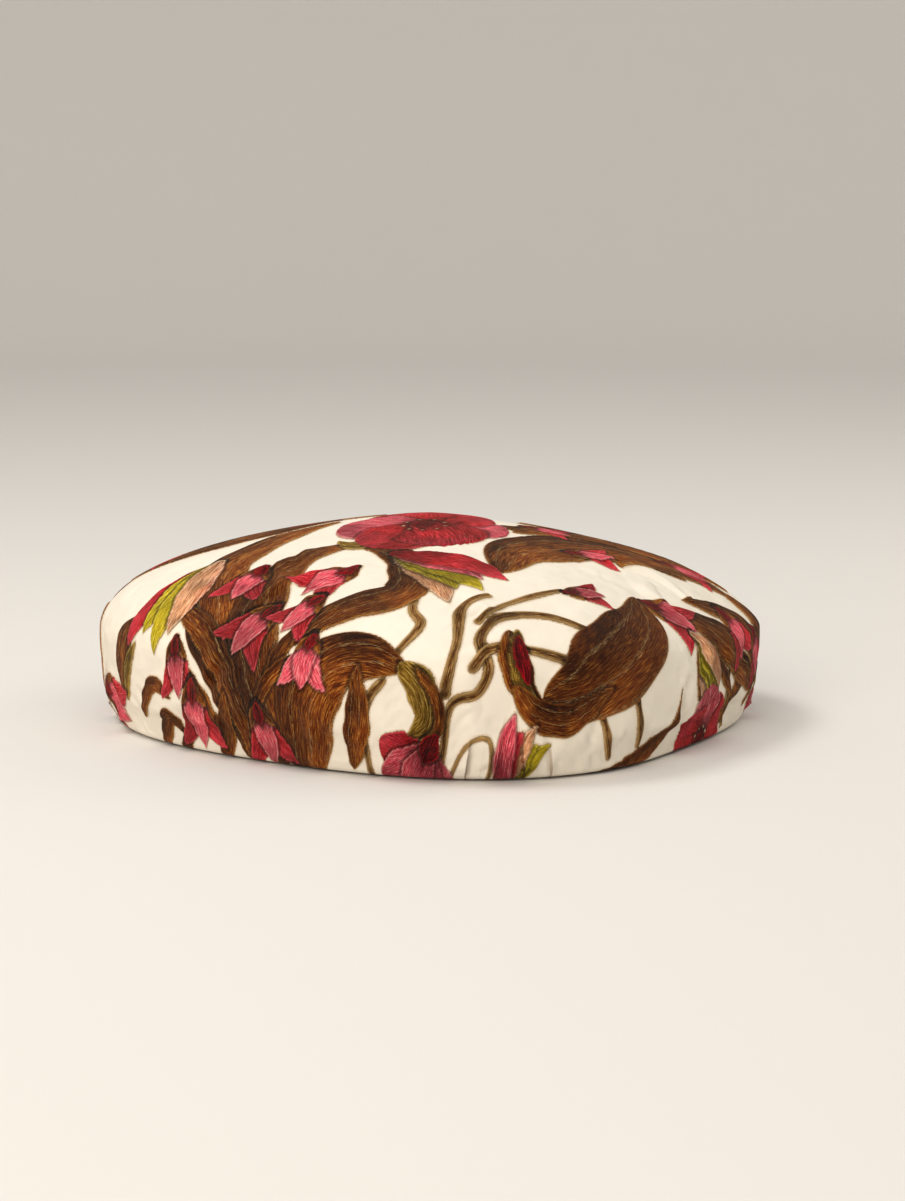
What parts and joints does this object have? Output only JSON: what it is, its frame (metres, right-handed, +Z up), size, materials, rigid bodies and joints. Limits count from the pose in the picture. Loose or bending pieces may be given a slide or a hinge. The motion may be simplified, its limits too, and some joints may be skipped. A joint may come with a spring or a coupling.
{
  "type": "chair seat pad",
  "caption": "Domed upholstered dining-chair seat pad: velvet cover over foam and webbing on a beech frame, with corner blocks that take bolt-on legs.",
  "frame": {"origin": "middle of the pad's plan box, in the plane of the corner blocks' undersides, which is the lowest plane", "axes": "+Z up through the crown, -Y towards the seat's front edge, +X to the right of someone standing in front of and facing the seat"},
  "size_m": [0.486, 0.444, 0.16],
  "materials": {
    "beech_rail": "matte",
    "birch_plywood": "matte",
    "beech_dowel": "matte",
    "zinc_plated_steel": "satin",
    "jute_webbing": "matte",
    "hessian": "matte",
    "firm_foam": "matte",
    "soft_foam": "matte",
    "calico": "matte",
    "wadding": "matte",
    "velvet": "matte",
    "cambric": "matte"
  },
  "bodies": {
    "root": {"front_rail": "beech_rail", "rear_rail": "beech_rail", "left_rail": "beech_rail", "right_rail": "beech_rail", "corner_block_front_left": "birch_plywood", "corner_block_front_right": "birch_plywood", "corner_block_rear_left": "birch_plywood", "corner_block_rear_right": "birch_plywood", "dowel_front_left_low": "beech_dowel", "dowel_front_left_high": "beech_dowel", "dowel_front_right_low": "beech_dowel", "dowel_front_right_high": "beech_dowel", "dowel_rear_left_low": "beech_dowel", "dowel_rear_left_high": "beech_dowel", "dowel_rear_right_low": "beech_dowel", "dowel_rear_right_high": "beech_dowel", "tee_nut_front_left": "zinc_plated_steel", "tee_nut_front_right": "zinc_plated_steel", "tee_nut_rear_left": "zinc_plated_steel", "tee_nut_rear_right": "zinc_plated_steel", "block_screw_front_left_left": "zinc_plated_steel", "block_screw_front_left_right": "zinc_plated_steel", "block_screw_front_right_left": "zinc_plated_steel", "block_screw_front_right_right": "zinc_plated_steel", "block_screw_rear_left_left": "zinc_plated_steel", "block_screw_rear_left_right": "zinc_plated_steel", "block_screw_rear_right_left": "zinc_plated_steel", "block_screw_rear_right_right": "zinc_plated_steel", "webbing_lengthwise_1": "jute_webbing", "webbing_lengthwise_2": "jute_webbing", "webbing_lengthwise_3": "jute_webbing", "webbing_lengthwise_4": "jute_webbing", "webbing_crosswise_1": "jute_webbing", "webbing_crosswise_2": "jute_webbing", "webbing_crosswise_3": "jute_webbing", "webbing_crosswise_4": "jute_webbing", "hessian_platform": "hessian", "firm_foam_core": "firm_foam", "soft_foam_crown": "soft_foam", "edge_foam_strip": "soft_foam", "calico_lining": "calico", "polyester_wadding": "wadding", "velvet_cover": "velvet", "dust_cover": "cambric"}
  },
  "joints": []
}
